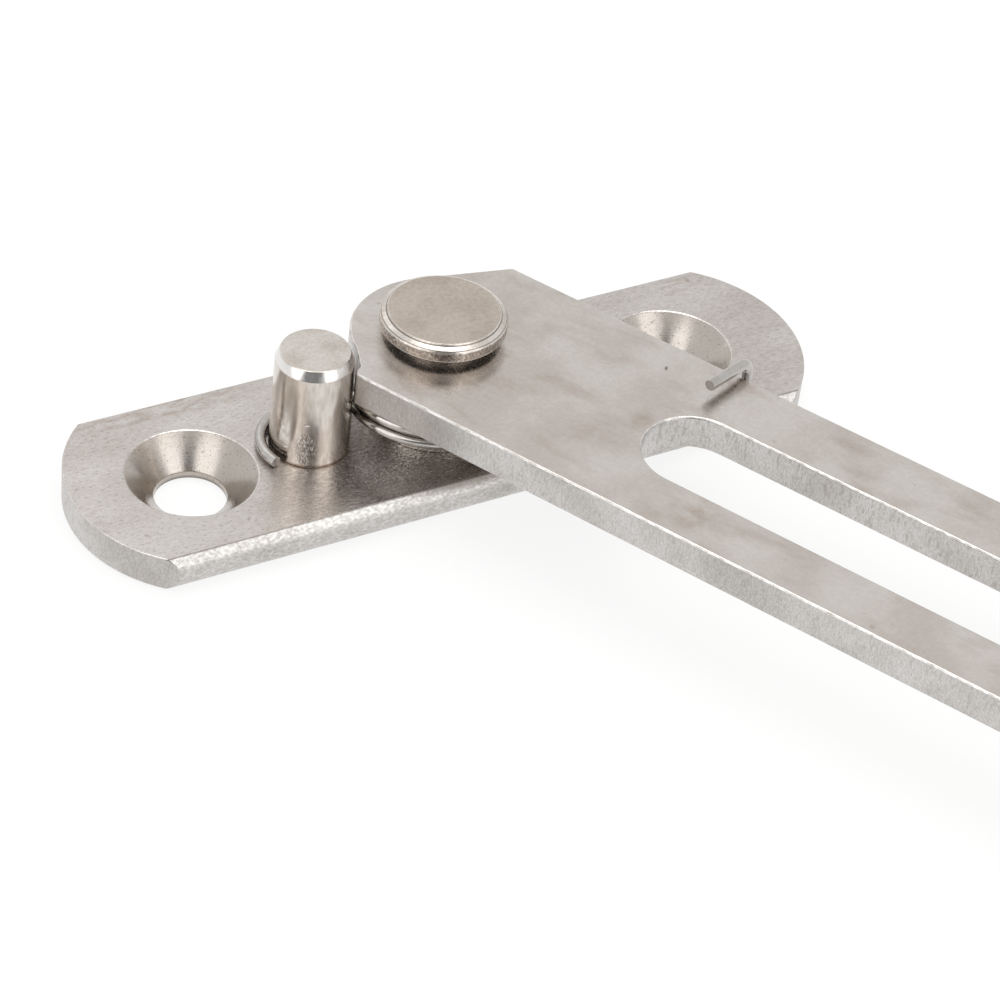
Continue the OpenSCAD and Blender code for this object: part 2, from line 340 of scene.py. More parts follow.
def turned_body(name, profile, centre):
    """Spins a profile of (radius, height) points about the vertical line through centre."""
    bpy.ops.mesh.primitive_plane_add(size=1)
    piece = bpy.context.object
    piece.name = name
    bpy.ops.object.mode_set(mode="EDIT")
    bpy.ops.mesh.select_all(action="SELECT")
    bpy.ops.mesh.merge(type="CENTER")
    here = Vector((profile[0][0], 0, profile[0][1]))
    bpy.ops.transform.translate(value=here)
    for radius, height in profile[1:]:
        there = Vector((radius, 0, height))
        bpy.ops.mesh.extrude_vertices_move(TRANSFORM_OT_translate={"value": there - here})
        here = there
    bpy.ops.mesh.select_all(action="SELECT")
    bpy.ops.mesh.spin(steps=144, angle=math.tau, center=(0, 0, 0), axis=(0, 0, 1))
    bpy.ops.mesh.select_all(action="SELECT")
    bpy.ops.transform.translate(value=(centre[0], centre[1], 0))
    bpy.ops.object.mode_set(mode="OBJECT")
    return clean(piece)


def rounded(profile, radii):
    """A profile whose corners, given by their place in it, are rounded to these radii."""
    made = []
    for i, point in enumerate(profile):
        if i in radii:
            before, after = Vector(profile[i - 1]), Vector(profile[i + 1])
            made += eased(before, Vector(point), after, radii[i], steps=4)
        else:
            made.append(Vector(point))
    return made


def finish_piece(piece, body, materials, rule=None, smooth=35):
    """Brings a piece to metres, shades it, gives its faces their materials and lets it ride on a body."""
    piece.scale = (MM, MM, MM)
    settle(piece)
    bpy.ops.object.shade_smooth_by_angle(angle=math.radians(smooth))
    apply_modifier(piece, "WEIGHTED_NORMAL", mode="FACE_AREA", weight=100, keep_sharp=True)
    piece.data.materials.clear()
    for material in materials:
        piece.data.materials.append(material)
    for face in piece.data.polygons:
        face.material_index = rule(face.center / MM, face.normal) if rule else 0
    if body:
        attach(piece, body)


# Materials


def add(tree, kind, settings=()):
    """Adds a node and sets its properties and inputs, each to a value, a node's output or a whole node."""
    made = tree.nodes.new("ShaderNode" + kind)
    for key, value in dict(settings).items():
        if isinstance(value, bpy.types.Node):
            value = next(output for output in value.outputs if output.enabled)
        if isinstance(value, bpy.types.NodeSocket):
            tree.links.new(value, made.inputs[key])
        elif isinstance(key, str) and hasattr(made, key):
            setattr(made, key, value)
        else:
            made.inputs[key].default_value = value
    return made


def coordinates(tree, centre, turn):
    """Object coordinates in millimetres, measured from centre and turned about Z."""
    place = add(tree, "TexCoord")
    return add(tree, "Mapping", {
        "vector_type": "TEXTURE", "Vector": place.outputs["Object"],
        "Location": Vector(centre) * MM, "Rotation": (0, 0, turn), "Scale": (MM,) * 3,
    })


def grains(tree, place, size, detail=3.0):
    """Noise whose grains are so many millimetres long, the same or another length along each axis."""
    size = size if isinstance(size, tuple) else (size, size, size)
    scaled = add(tree, "VectorMath", {"operation": "DIVIDE", 0: place, 1: size})
    return add(tree, "TexNoise", {"Vector": scaled, "Scale": 1.0, "Detail": detail})


def mask(tree, value, start, full, strength=1.0, within=1.0):
    """Grows smoothly from 0 to a strength while a value goes from start to full, inside another mask."""
    grown = add(tree, "MapRange", {
        "interpolation_type": "SMOOTHSTEP", "Value": value,
        "From Min": start, "From Max": full, "To Max": strength,
    })
    return add(tree, "Math", {"operation": "MULTIPLY", 0: grown, 1: within})


def around(tree, place, centre, reach, soft, turn=0.0):
    """Mask of an ellipsoid: 0 at its reach along each axis, in millimetres, and 1 past its soft share."""
    local = add(tree, "Mapping", {
        "vector_type": "TEXTURE", "Vector": place,
        "Location": centre, "Rotation": (0, 0, turn), "Scale": reach,
    })
    span = add(tree, "VectorMath", {"operation": "LENGTH", 0: local})
    return mask(tree, span, 1, 1 - soft)


def band(tree, value, middle, half, strength=1.0, within=1.0):
    """Mask of the values within half of the middle one, with soft ends."""
    off = add(tree, "Math", {"operation": "SUBTRACT", 0: value, 1: middle})
    size = add(tree, "Math", {"operation": "ABSOLUTE", 0: off})
    return mask(tree, size, half, half * 0.6, strength, within)


def tint(shader, where, tone):
    """Lays a tone over the colour that a shader already has, where the mask says."""
    tree = shader.id_data
    below = shader.inputs["Base Color"].links[0].from_socket
    over = add(tree, "Mix", {"data_type": "RGBA", 0: where, 6: below, 7: (*tone, 1)})
    tree.links.new(over.outputs[2], shader.inputs["Base Color"])


def relief(shader, height, depth, within=1.0):
    """Adds one more layer of relief, so many millimetres deep, to a shader, inside a mask."""
    tree = shader.id_data
    level = add(tree, "Math", {"operation": "SUBTRACT", 0: height, 1: 0.5})
    kept = add(tree, "Math", {"operation": "MULTIPLY", 0: level, 1: within})
    layer = {"Strength": 1.0, "Distance": depth * MM, "Height": kept}
    for link in shader.inputs["Normal"].links:
        layer["Normal"] = link.from_socket
    tree.links.new(add(tree, "Bump", layer).outputs["Normal"], shader.inputs["Normal"])


def steel(name, light, dark, centre=(0, 0, 0), turn=0.0, *, cast, grain, rough, fine=0.5, depth=0.003):
    """Stainless steel: a slow cast and a fine grain between two tones, the grain in its relief and gloss too.

    Cast, grain and depth are in millimetres, rough is the roughness from its least to its most, and fine is
    the grain's share of the tone. Returns the material, its node tree, its shader and its coordinates. The
    real grain of rolled and tumbled steel is some hundredths of a millimetre, too fine to show, so every
    grain here is drawn a few times as coarse.
    """
    material = bpy.data.materials.new(name)
    material.use_nodes = True
    material.diffuse_color = (*light, 1)
    tree = material.node_tree
    tree.nodes.clear()
    place = coordinates(tree, centre, turn)
    pattern = grains(tree, place, grain)
    slow = mask(tree, grains(tree, place, cast, 2), 0.32, 0.68, 1 - fine)
    fast = mask(tree, pattern, 0.28, 0.72, fine)
    tone = add(tree, "Math", {"operation": "ADD", 0: slow, 1: fast})
    colours = {"data_type": "RGBA", 0: tone, 6: (*light, 1), 7: (*dark, 1)}
    gloss = {
        "interpolation_type": "SMOOTHSTEP", "Value": pattern, "From Min": 0.3, "From Max": 0.7,
        "To Min": rough[0], "To Max": rough[1],
    }
    shader = add(tree, "BsdfPrincipled", {
        "Metallic": 1.0, "Base Color": add(tree, "Mix", colours),
        "Roughness": add(tree, "MapRange", gloss),
    })
    add(tree, "OutputMaterial", {"Surface": shader})
    relief(shader, pattern, depth)
    return material, tree, shader, place


def tumbled_strip(finish):
    """Cold-rolled stainless strip, blanked and tumbled: satin, streaked along the roll, with tea stains."""
    material, tree, shader, place = steel(
        "tumbled_stainless_strip", finish.strip, finish.strip_warm,
        cast=(7.7, 3.3, 3.3), grain=(0.4, 0.2, 0.2), rough=(0.22, 0.32), fine=0.6, depth=0.011,
    )
    # Roll marks are long and fine, the dents of tumbling about as wide as they are long.
    relief(shader, grains(tree, place, (2, 0.09, 0.09)), 0.007)
    relief(shader, grains(tree, place, (1.1, 0.62, 0.62)), 0.012)
    dashes = grains(tree, place, (0.33, 0.14, 0.14), 2)
    tint(shader, mask(tree, dashes, 0.56, 0.68, 0.3), finish.crease)
    # The arm's edge and the spring's tail have worn scuffs into the strip beside the pin. Their bright specks
    # are also painted light, lifting the shade where the plate lies under the arm.
    scuffs_and_painted_light = around(tree, place, (PIN.x + 5, PIN.y - 4, STOCK), (6.5, 4, 2), 0.9)
    specks = grains(tree, place, (0.2, 0.17, 0.17), 2)
    relief(shader, specks, 0.11, scuffs_and_painted_light)
    tint(shader, mask(tree, specks, 0.42, 0.62, 0.9, scuffs_and_painted_light), finish.rubbed)
    spots = grains(tree, place, 0.77, 1)
    tint(shader, mask(tree, spots, 0.74, 0.8, 0.45), finish.stain)
    # Tea stains lie along the far edge, near both ends.
    drift = grains(tree, place, (1.4, 0.42, 0.42))
    for along, inward, reach, soft in ((-17, 1.2, (9, 1.3, 2), 0.6), (22.5, 1.6, (3, 1.6, 2), 0.9)):
        stained = around(tree, place, (along, PLATE_HIGH.y - inward, STOCK), reach, soft)
        tint(shader, mask(tree, drift, 0.35, 0.7, 0.45, stained), finish.stain)
    return material


def rolled_edge(finish):
    """The strip's rolled edge: pressed bright along its top, a line of painted shade where it meets the flat,
    coarser lower down.
    """
    material, tree, shader, place = steel(
        "rolled_stainless_edge", finish.sheared, finish.sheared_dark,
        cast=4, grain=(0.25, 0.17, 0.17), rough=(0.27, 0.4), fine=0.7, depth=0.006,
    )
    relief(shader, grains(tree, place, (0.125, 0.083, 0.083), 2), 0.004)
    height = add(tree, "SeparateXYZ", {"Vector": place}).outputs["Z"]
    # Painted shade: a dark line along the top of the rolled edge, where it meets the flat.
    tint(shader, mask(tree, height, STOCK - 0.1, STOCK - 0.03, 0.8), finish.crease)
    return material


def sheared_edge(finish, name="sheared_plate_edge", coarse=1.0):
    """Blanked edge: torn across the thickness, so its grain stands upright and sparkles.

    Coarse tears are deeper and darker by that factor.
    """
    material, tree, shader, place = steel(
        name, finish.sheared, finish.sheared_dark,
        cast=5, grain=(0.09, 0.09, 0.2), rough=(0.27, 0.42), depth=0.003 * coarse,
    )
    relief(shader, grains(tree, place, 0.11), 0.003 * coarse)
    tears = grains(tree, place, (0.2, 0.2, 0.67))
    tint(shader, mask(tree, tears, 0.5, 0.66, 0.16 * coarse), finish.crease)
    return material


def dirt_and_shade_in_notch(material, finish, turn, notch):
    """Darkens a material of the arm in the notch that meets the pin: grime, and painted shade where its walls
    face the pin's dark side.
    """
    tree = material.node_tree
    shader = next(node for node in tree.nodes if node.type == "BSDF_PRINCIPLED")
    place = coordinates(tree, PIVOT, turn)
    # Grime and painted shade: the notch's walls darken where they face the pin's dark side.
    corner = around(tree, place, (notch.x - 0.5, notch.y + 0.6, 0), (1.9, 1.9, 3.5), 0.8)
    drift = grains(tree, place, 0.67)
    tint(shader, mask(tree, drift, 0.1, 0.7, 1, corner), finish.notch_dirt_and_shade)
    return material


def rubbed_edge(finish, name="rubbed_plate_edge"):
    """Edge that tumbling has rubbed bright."""
    return steel(
        name, finish.rubbed, finish.sheared_dark,
        cast=2, grain=0.5, rough=(0.3, 0.44), fine=0.6, depth=0.005,
    )[0]


def countersunk(finish, hole_x):
    """Countersink cut with a turning tool: fine rings round the hole, and a grey bore under it, painted
    darker towards its bottom as shade.
    """
    material, tree, shader, place = steel(
        "countersunk_stainless", finish.cone, finish.cone_dark,
        cast=3.3, grain=(0.1, 0.1, 0.5), rough=(0.17, 0.27),
    )
    parts = add(tree, "SeparateXYZ", {"Vector": place})
    side = add(tree, "Math", {"operation": "ABSOLUTE", 0: parts.outputs["X"]})
    along = add(tree, "Math", {"operation": "SUBTRACT", 0: side, 1: hole_x})
    flat = add(tree, "CombineXYZ", {"X": along, "Y": parts.outputs["Y"]})
    radius = add(tree, "VectorMath", {"operation": "LENGTH", 0: flat})
    ring = add(tree, "CombineXYZ", {"X": radius})
    relief(shader, grains(tree, ring, 0.11), 0.005)
    # Painted shade: the bore darkens towards the plate's underside.
    tint(shader, mask(tree, parts.outputs["Z"], 0.34, 0.12, 0.75), finish.crease)
    pits = grains(tree, place, 0.2, 1)
    tint(shader, mask(tree, pits, 0.66, 0.74, 0.6), finish.crease)
    upper = mask(tree, parts.outputs["Z"], STOCK - 1.2, STOCK - 0.4)
    scratches = grains(tree, place, (0.5, 0.12, 0.2), 2)
    tint(shader, mask(tree, scratches, 0.6, 0.7, 0.35, upper), finish.crease)
    return material


def arm_sheet(finish, turn):
    """Stainless sheet, blanked and tumbled: smoother than the plate, with a mottled satin cast."""
    material, tree, shader, place = steel(
        "tumbled_stainless_sheet", finish.sheet, finish.sheet_warm, PIVOT, turn,
        cast=4.5, grain=0.33, rough=(0.2, 0.28), fine=0.4,
    )
    relief(shader, grains(tree, place, (2, 0.7, 1)), 0.007)
    relief(shader, grains(tree, place, (1.25, 0.125, 0.125)), 0.005)
    spots = grains(tree, place, 0.9, 1)
    tint(shader, mask(tree, spots, 0.76, 0.82, 0.3), finish.stain)
    warmth = grains(tree, place, (4.5, 1.7, 1.7), 4)
    tint(shader, mask(tree, warmth, 0.5, 0.72, 0.22), finish.stain)
    # Tea stains lie round the rivet, behind the slot's head and by the hook. There is one dark speck.
    top = ARM_HIGH.z - PIVOT.z
    drift = grains(tree, place, 1.1)
    for along, across, reach in (
        (4.6, 1.0, 0.8), (-3.3, 4.3, 1.6), (15.4, 0.8, 1.2), (23, -5, 2.6), (18.3, 8.5, 1.1)
    ):
        stained = around(tree, place, (along, across, top), (reach, reach, 3), 0.9)
        tint(shader, mask(tree, drift, 0.35, 0.7, 0.4, stained), finish.stain)
    speck = around(tree, place, (13.5, 6.6, top), (0.16, 0.36, 1), 0.9, turn=0.4)
    tint(shader, speck, finish.crease)
    return material


def rivet_head(finish):
    """Pressed rivet head, tumbled: speckled on top."""
    material, tree, shader, place = steel(
        "tumbled_rivet_head", finish.head, finish.head_warm, PIVOT,
        cast=2.8, grain=0.31, rough=(0.26, 0.36), fine=0.6, depth=0.004,
    )
    relief(shader, grains(tree, place, 0.14, 2), 0.003)
    return material


def burnished_rim(finish):
    """The head's rim: bright and pitted, with painted shade in the steps, a dull, mottled wall and painted
    light along its foot.
    """
    material, tree, shader, place = steel(
        "burnished_rivet_rim", finish.turned, finish.turned_warm, PIVOT,
        cast=2, grain=0.33, rough=(0.2, 0.3), depth=0.008,
    )
    relief(shader, grains(tree, place, 0.14, 2), 0.006)
    height = add(tree, "SeparateXYZ", {"Vector": place}).outputs["Z"]
    crown = RIVET_HIGH.z - PIVOT.z
    # Painted shade: a dark line at each of the head's two upper steps.
    for below, half in ((0.11, 0.04), (0.3, 0.03)):
        tint(shader, band(tree, height, crown - below, half, 0.9), finish.crease)
    mottle = mask(tree, grains(tree, place, (0.2, 0.2, 0.17)), 0.38, 0.6)
    tint(shader, band(tree, height, crown - 0.75, 0.4, 0.68, mottle), finish.crease)
    # Painted light: a bright band along the rim's foot and undercut, lifting the shade under the head.
    tint(shader, band(tree, height, crown - 1.35, 0.35), finish.rubbed)
    return material


def turned_pin(finish):
    """Turned pin, burnished by tumbling: drag lines down its side, a rubbed patch low down and one nick."""
    material, tree, shader, place = steel(
        "turned_stainless_pin", finish.turned, finish.turned_warm, PIN,
        cast=(2, 2, 4), grain=(0.25, 0.25, 1), rough=(0.15, 0.25),
    )
    foot = STOCK - PIN.z
    nick_height = foot + 3.5
    # These run from the pin's axis to its near side and to its left, where the tail of the spring rubs.
    front = Vector((-0.54, -0.84)) * PIN_RADIUS
    left = Vector((-0.954, -0.299)) * PIN_RADIUS
    rubbed = around(tree, place, (*front, foot + 1.5), (0.95, 0.95, 1.7), 0.4)
    dashes = grains(tree, place, (0.11, 0.11, 0.26), 1)
    relief(shader, dashes, 0.04, rubbed)
    tint(shader, mask(tree, rubbed, 0, 1, 0.35), finish.crease)
    tint(shader, mask(tree, dashes, 0.5, 0.6, 0.9, rubbed), finish.rubbed)
    nick = around(tree, place, (*front, nick_height), (0.42, 0.42, 0.16), 0.7)
    relief(shader, mask(tree, nick, 1, 0), 0.06)
    # Painted highlight and shade: the nick's lower lip is drawn bright and its upper lip dark.
    for above, thick, tone in ((-0.05, 0.1, finish.rubbed), (0.1, 0.05, finish.crease)):
        lip = around(tree, place, (*front, nick_height + above), (0.42, 0.42, thick), 0.5)
        tint(shader, lip, tone)
    height = add(tree, "SeparateXYZ", {"Vector": place}).outputs["Z"]
    # A darker brown band rings the pin's foot.
    tint(shader, band(tree, height, foot + 0.08, 0.14, 0.7), finish.stain)
    stained = around(tree, place, (*left, foot + 2.4), (1.1, 1.1, 3), 0.9)
    drift = grains(tree, place, (0.33, 0.33, 0.5))
    tint(shader, mask(tree, drift, 0.4, 0.65, 0.5, stained), finish.stain)
    tint(shader, band(tree, height, PIN_HIGH.z - PIN.z - 0.37, 0.36, 0.9), finish.rubbed)
    return material


def drawn_wire(finish):
    """Drawn spring wire: bright, with faint marks of the die."""
    return steel(
        "drawn_spring_wire", finish.wire, finish.sheared_dark,
        cast=3.3, grain=0.4, rough=(0.08, 0.18), depth=0.004,
    )[0]


def turned_bush(finish):
    """Turned bush: plain, with the tool's fine rings round it."""
    return steel(
        "turned_stainless_bush", finish.turned, finish.turned_warm, PIVOT,
        cast=2, grain=(1.7, 1.7, 0.11), rough=(0.2, 0.3),
    )[0]


# Pieces


def tail_profile(stem, sizes):
    """The riveted tail under a stem of this radius."""
    foot = PIN_LOW.z
    return [(0, foot), (stem + sizes["tail_flare"], foot), (stem, foot + sizes["tail_depth"])]


class RESTRICTOR_OT_base_plate(bpy.types.Operator):
    """Models the base plate from its rolled strip and finishes it"""

    bl_idname = "restrictor.base_plate"
    bl_label = "Base Plate"

    def execute(self, context):
        sizes = in_mm(context.scene.restrictor_plate)
        finish = context.scene.restrictor_finish
        bulge = sizes["edge_bulge"]
        half = (PLATE_HIGH.y - PLATE_LOW.y) / 2
        edge_radius = (STOCK ** 2 / 4 + bulge ** 2) / (2 * bulge)
        sweep = math.asin(STOCK / 2 / edge_radius)
        ring = arc((half - edge_radius, STOCK / 2), edge_radius, -sweep, sweep, 20)
        ring += arc((edge_radius - half, STOCK / 2), edge_radius, math.pi - sweep, math.pi + sweep, 20)
        plate = outline_body("plate_steel", [ring], PLATE_LOW.x - OVERCUT, PLATE_HIGH.x + OVERCUT)
        plate.rotation_euler = (math.pi / 2, 0, math.pi / 2)
        settle(plate)

        end_radius = sizes["end_radius"]
        ends = arc((PLATE_HIGH.x - end_radius, 0), end_radius, -math.pi / 2, math.pi / 2, 120)
        ends += arc((PLATE_LOW.x + end_radius, 0), end_radius, math.pi / 2, 3 * math.pi / 2, 120)
        cut(plate, outline_body("blank", [ends], -OVERCUT, STOCK + OVERCUT), "INTERSECT")

        bore, mouth, land = sizes["hole_bore"] / 2, sizes["hole_mouth"] / 2, sizes["hole_land"]
        over = mouth + (mouth - bore) / (STOCK - land) * OVERCUT
        above = STOCK + OVERCUT
        drill = [(0, -OVERCUT), (bore, -OVERCUT), (bore, land), (over, above), (0, above)]
        for side in (-1, 1):
            cut(plate, turned_body("drill", drill, (side * sizes["hole_x"], 0)))
        clean(plate)
        # The crease along a rolled edge turns by less than this angle and stays sharp.
        apply_modifier(
            plate, "BEVEL", width=sizes["edge_break"], segments=3, limit_method="ANGLE",
            angle_limit=math.radians(43), use_clamp_overlap=False,
        )
        turned = in_mm(context.scene.restrictor_turned)
        foot = PIN_LOW.z
        stems = ((PIVOT, turned["journal"] / 2), (PIN, turned["pin_base"] / 2 - turned["pin_ledge"]))
        for centre, stem in stems:
            tight = stem + turned["tail_gap"]
            flared = tight + turned["tail_flare"]
            rivet = [
                (0, -OVERCUT), (flared, -OVERCUT), (flared, foot), (tight, foot + turned["tail_depth"]),
                (tight, above), (0, above),
            ]
            cut(plate, turned_body("rivet_drill", rivet, centre))
        clean(plate)

        strip, cone, rolled, sheared, rubbed = range(5)
        # Faces this near to a cut belong to it, and its softened rim is this wide.
        near, rim = 0.05, 0.2

        def surface(centre, normal):
            upright = abs(normal.z)
            from_hole = math.hypot(abs(centre.x) - sizes["hole_x"], centre.y)
            if from_hole < mouth + near and near < centre.z < STOCK - 0.02:
                return cone
            if upright > FLAT:
                return strip
            if abs(centre.y) > half - bulge - near and abs(normal.x) < 0.5:
                return rolled if upright < 0.85 else strip
            if upright < WALL:
                return sheared
            return rubbed if from_hole > mouth + rim else strip

        materials = [
            tumbled_strip(finish), countersunk(finish, sizes["hole_x"]), rolled_edge(finish),
            sheared_edge(finish), rubbed_edge(finish),
        ]
        finish_piece(plate, "base", materials, surface)
        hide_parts("base_plate")
        return {"FINISHED"}


class RESTRICTOR_OT_stop_pin(bpy.types.Operator):
    """Turns the stop pin and finishes it"""

    bl_idname = "restrictor.stop_pin"
    bl_label = "Stop Pin"

    def execute(self, context):
        sizes = in_mm(context.scene.restrictor_turned)
        base, top = sizes["pin_base"] / 2, sizes["pin_top"] / 2
        stem = base - sizes["pin_ledge"]
        crown = PIN_HIGH.z
        shoulder = crown - sizes["chamfer_height"]
        profile = tail_profile(stem, sizes) + [
            (stem, STOCK), (base, STOCK), (top, shoulder), (top - sizes["chamfer_width"], crown), (0, crown)
        ]
        profile = rounded(profile, {4: 0.1, 5: 0.06, 6: 0.06})
        pin = turned_body("stop_pin_steel", profile, PIN)
        finish_piece(pin, "base", [turned_pin(context.scene.restrictor_finish)], smooth=30)
        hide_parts("stop_pin")
        return {"FINISHED"}


class RESTRICTOR_OT_pivot_rivet(bpy.types.Operator):
    """Turns the pivot rivet with its stepped head and finishes it"""

    bl_idname = "restrictor.pivot_rivet"
    bl_label = "Pivot Rivet"

    def execute(self, context):
        sizes = in_mm(context.scene.restrictor_turned)
        journal, flat = sizes["journal"] / 2, sizes["head_flat"] / 2
        rim = (RIVET_HIGH.x - RIVET_LOW.x) / 2
        crown, tall, lip = RIVET_HIGH.z, sizes["head_height"], sizes["head_undercut"]
        under = crown - tall
        step = rim - flat
        # The rim stands plumb for two thirds of the head's height and then steps in to the flat top.
        profile = tail_profile(journal, sizes) + [
            (journal, under), (rim - lip, under), (rim, under + lip), (rim, under + tall * 0.68),
            (rim - step * 0.2, under + tall * 0.8), (rim - step * 0.75, under + tall * 0.9),
            (flat, crown), (0, crown),
        ]
        profile = rounded(profile, {4: 0.1, 5: 0.14, 6: 0.08, 7: 0.06, 8: 0.07, 9: 0.05})
        rivet = turned_body("pivot_rivet_steel", profile, PIVOT)
        finish = context.scene.restrictor_finish
        top, side = range(2)

        def surface(centre, normal):
            return top if normal.z > 0.95 else side

        materials = [rivet_head(finish), burnished_rim(finish)]
        finish_piece(rivet, "base", materials, surface, smooth=30)
        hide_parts("pivot_rivet")
        return {"FINISHED"}


class RESTRICTOR_OT_spacer_bush(bpy.types.Operator):
    """Turns the spacer bush inside the coil and finishes it"""

    bl_idname = "restrictor.spacer_bush"
    bl_label = "Spacer Bush"

    def execute(self, context):
        sizes = in_mm(context.scene.restrictor_turned)
        inside = sizes["journal"] / 2 + sizes["running_gap"]
        outside = (BUSH_HIGH.x - BUSH_LOW.x) / 2
        low, high = BUSH_LOW.z, BUSH_HIGH.z
        profile = [(inside, low), (outside, low), (outside, high), (inside, high), (inside, low)]
        profile = [Vector(profile[0])] + rounded(profile, {1: 0.1, 2: 0.1, 3: 0.1})[1:]
        bush = turned_body("spacer_bush_steel", profile, PIVOT)
        finish_piece(bush, "base", [turned_bush(context.scene.restrictor_finish)], smooth=30)
        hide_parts("spacer_bush")
        return {"FINISHED"}


def arm_rings(arm, turned):
    """The arm's outline, its slot and its bore, and the root of its notch, in the arm's own frame."""
    near, far, head = -arm["near_edge"], arm["far_edge"], arm["head_radius"]
    # The shoulder's round corner meets the pin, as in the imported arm, at the rest angle.
    shoulder_radius = arm["shoulder_radius"]
    stop_at = Matrix.Rotation(-arm["rest_angle"], 2) @ Vector((-STOP_DISTANCE, 0))
    notch = Vector((-arm["notch_lean"], arm["notch_depth"]))
    corner_in = (notch.normalized() + Vector((1, 0))).normalized()
    corner_in *= shoulder_radius / math.sin(notch.angle(Vector((1, 0))) / 2)
    wall = (ARM_LOW.z - PLATE_HIGH.z) / (PIN_HIGH.z - PLATE_HIGH.z)
    stop_radius = (turned["pin_base"] + (turned["pin_top"] - turned["pin_base"]) * wall) / 2
    reach = stop_radius + arm["rest_gap"] + shoulder_radius
    shoulder_x = stop_at.x + math.sqrt(reach ** 2 - (corner_in.y + near - stop_at.y) ** 2) - corner_in.x
    shoulder = Vector((shoulder_x, near))
    notch_root = shoulder + notch
    flank = arm["flank_angle"]
    back = Vector(((head - far * math.sin(flank)) / math.cos(flank), far))
    flank_point = polar((0, 0), head, flank)
    tip_radius = (arm["near_edge"] + far) / 2
    tip = Vector((arm["reach"] - tip_radius, (far - arm["near_edge"]) / 2))
    near_end = Vector((tip.x, near))
    outside = eased(notch_root, shoulder, near_end, shoulder_radius)
    # The long edge after the shoulder is cut into short faces.
    outside += [shoulder.lerp(near_end, i / 150) for i in range(2, 150)]
    outside += arc(tip, tip_radius, -math.pi / 2, math.pi / 2, 60)
    outside += eased(Vector((tip.x, far)), back, flank_point, arm["back_radius"])
    outside += arc((0, 0), head, flank, arm["notch_angle"], 60)
    outside.append(notch_root)
    slot_radius, slot_y = arm["slot_width"] / 2, arm["slot_offset"]
    slot_end = arm["reach"] - arm["slot_web"] - slot_radius
    slot = arc((arm["slot_start"], slot_y), slot_radius, math.pi / 2, 3 * math.pi / 2, 48)
    slot += arc((slot_end, slot_y), slot_radius, -math.pi / 2, math.pi / 2, 48)
    bore = arc((0, 0), turned["journal"] / 2 + turned["running_gap"], 0, math.tau, 96)[:-1]
    return [outside, slot, bore], notch_root


class RESTRICTOR_OT_arm(bpy.types.Operator):
    """Blanks the slotted arm, rounds its edges and finishes it"""

    bl_idname = "restrictor.arm"
    bl_label = "Arm"

    def execute(self, context):
        sizes = in_mm(context.scene.restrictor_arm)
        turned = in_mm(context.scene.restrictor_turned)
        finish = context.scene.restrictor_finish
        rings, notch = arm_rings(sizes, turned)
        arm = outline_body("arm_steel", rings, ARM_LOW.z, ARM_HIGH.z, sizes["edge_break"])
        arm.rotation_euler.z = sizes["rest_angle"]
        arm.location = (PIVOT.x, PIVOT.y, 0)
        settle(arm)

        turn = sizes["rest_angle"]
        slot_half = sizes["slot_width"] / 2
        sheet, sheared, rubbed, slot_edge = range(4)
        # Faces this near to the slot belong to it.
        near = 0.2

        def surface(centre, normal):
            upright = abs(normal.z)
            if upright > FLAT:
                return sheet
            if upright > WALL:
                return rubbed
            local = Matrix.Rotation(-turn, 2) @ (centre.xy - PIVOT.xy)
            beside = abs(local.y - sizes["slot_offset"]) < slot_half + near
            past_head = local.x > sizes["slot_start"] - slot_half - near
            return slot_edge if beside and past_head else sheared

        edges = [sheared_edge(finish, "sheared_arm_edge"), rubbed_edge(finish, "rubbed_arm_edge")]
        materials = [arm_sheet(finish, turn)] + [dirt_and_shade_in_notch(edge, finish, turn, notch) for edge in edges]
        materials.append(sheared_edge(finish, "sheared_slot_edge", coarse=1.8))
        finish_piece(arm, "arm", materials, surface)
        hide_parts("arm")
        return {"FINISHED"}


def spring_path(spring, arm, turned):
    """The wire's centre line: round the pin, up the coil, under the arm and over its far edge."""
    wire_radius = spring["wire"] / 2
    coil = PIVOT.xy + Vector((-spring["shift_back"], spring["shift_aside"]))
    wrap_radius = turned["pin_base"] / 2 + wire_radius + spring["wrap_gap"]
    off = coil - PIN.xy
    leave = math.acos((wrap_radius - spring["coil_radius"]) / off.length) + math.atan2(off.y, off.x)
    turn = Matrix.Rotation(arm["rest_angle"], 2)
    hook_y = arm["far_edge"] + wire_radius + spring["hook_beside"]
    hook = PIVOT.xy + turn @ Vector((spring["hook_at"], hook_y))
    tip_at = Vector((spring["hook_at"] - spring["hook_splay"], hook_y - spring["hook_length"]))
    tip = PIVOT.xy + turn @ tip_at
    away = hook - coil
    meet = math.atan2(away.y, away.x) + math.acos(spring["coil_radius"] / away.length)
    end = meet - math.tau * spring["turns"]
    low = STOCK + wire_radius + spring["foot_gap"]
    first = STOCK + spring["rise"]
    last = first + spring["pitch"] * (leave - end) / math.tau
    over = ARM_HIGH.z + wire_radius + spring["hook_over"]

    path = []
    for i in range(41):
        t = 1 - i / 40
        opened = wrap_radius + spring["wrap_open"] * t * t
        spot = polar(PIN.xy, opened, leave + (spring["wrap_end"] - leave) * t)
        path.append(spot.to_3d() + Vector((0, 0, low)))
    steps = round((leave - end) / math.radians(2.5))
    turns = []
    for i in range(steps + 1):
        spot = polar(coil, spring["coil_radius"], leave + (end - leave) * i / steps)
        turns.append(spot.to_3d() + Vector((0, 0, first + (last - first) * i / steps)))
    foot = path[-1]
    for i in range(1, 16):
        t = i / 16
        spot = foot.lerp(turns[0], t)
        spot.z = low + (first - low) * t * t * (3 - 2 * t)
        path.append(spot)
    path += turns
    run_end = Vector((*hook, last + spring["run_rise"]))
    hook_top = Vector((*hook, over))
    nose = Vector((*tip, over + spring["hook_rise"]))
    # The wire stands out a little in both bends, which are drawn with a radius of 1 mm.
    path += eased(turns[-1], run_end, hook_top, spring["bend_up"], 12, drawn=1)
    path += eased(run_end, hook_top, nose, spring["bend_over"], 12, drawn=1)
    path.append(nose)
    return path, first, last


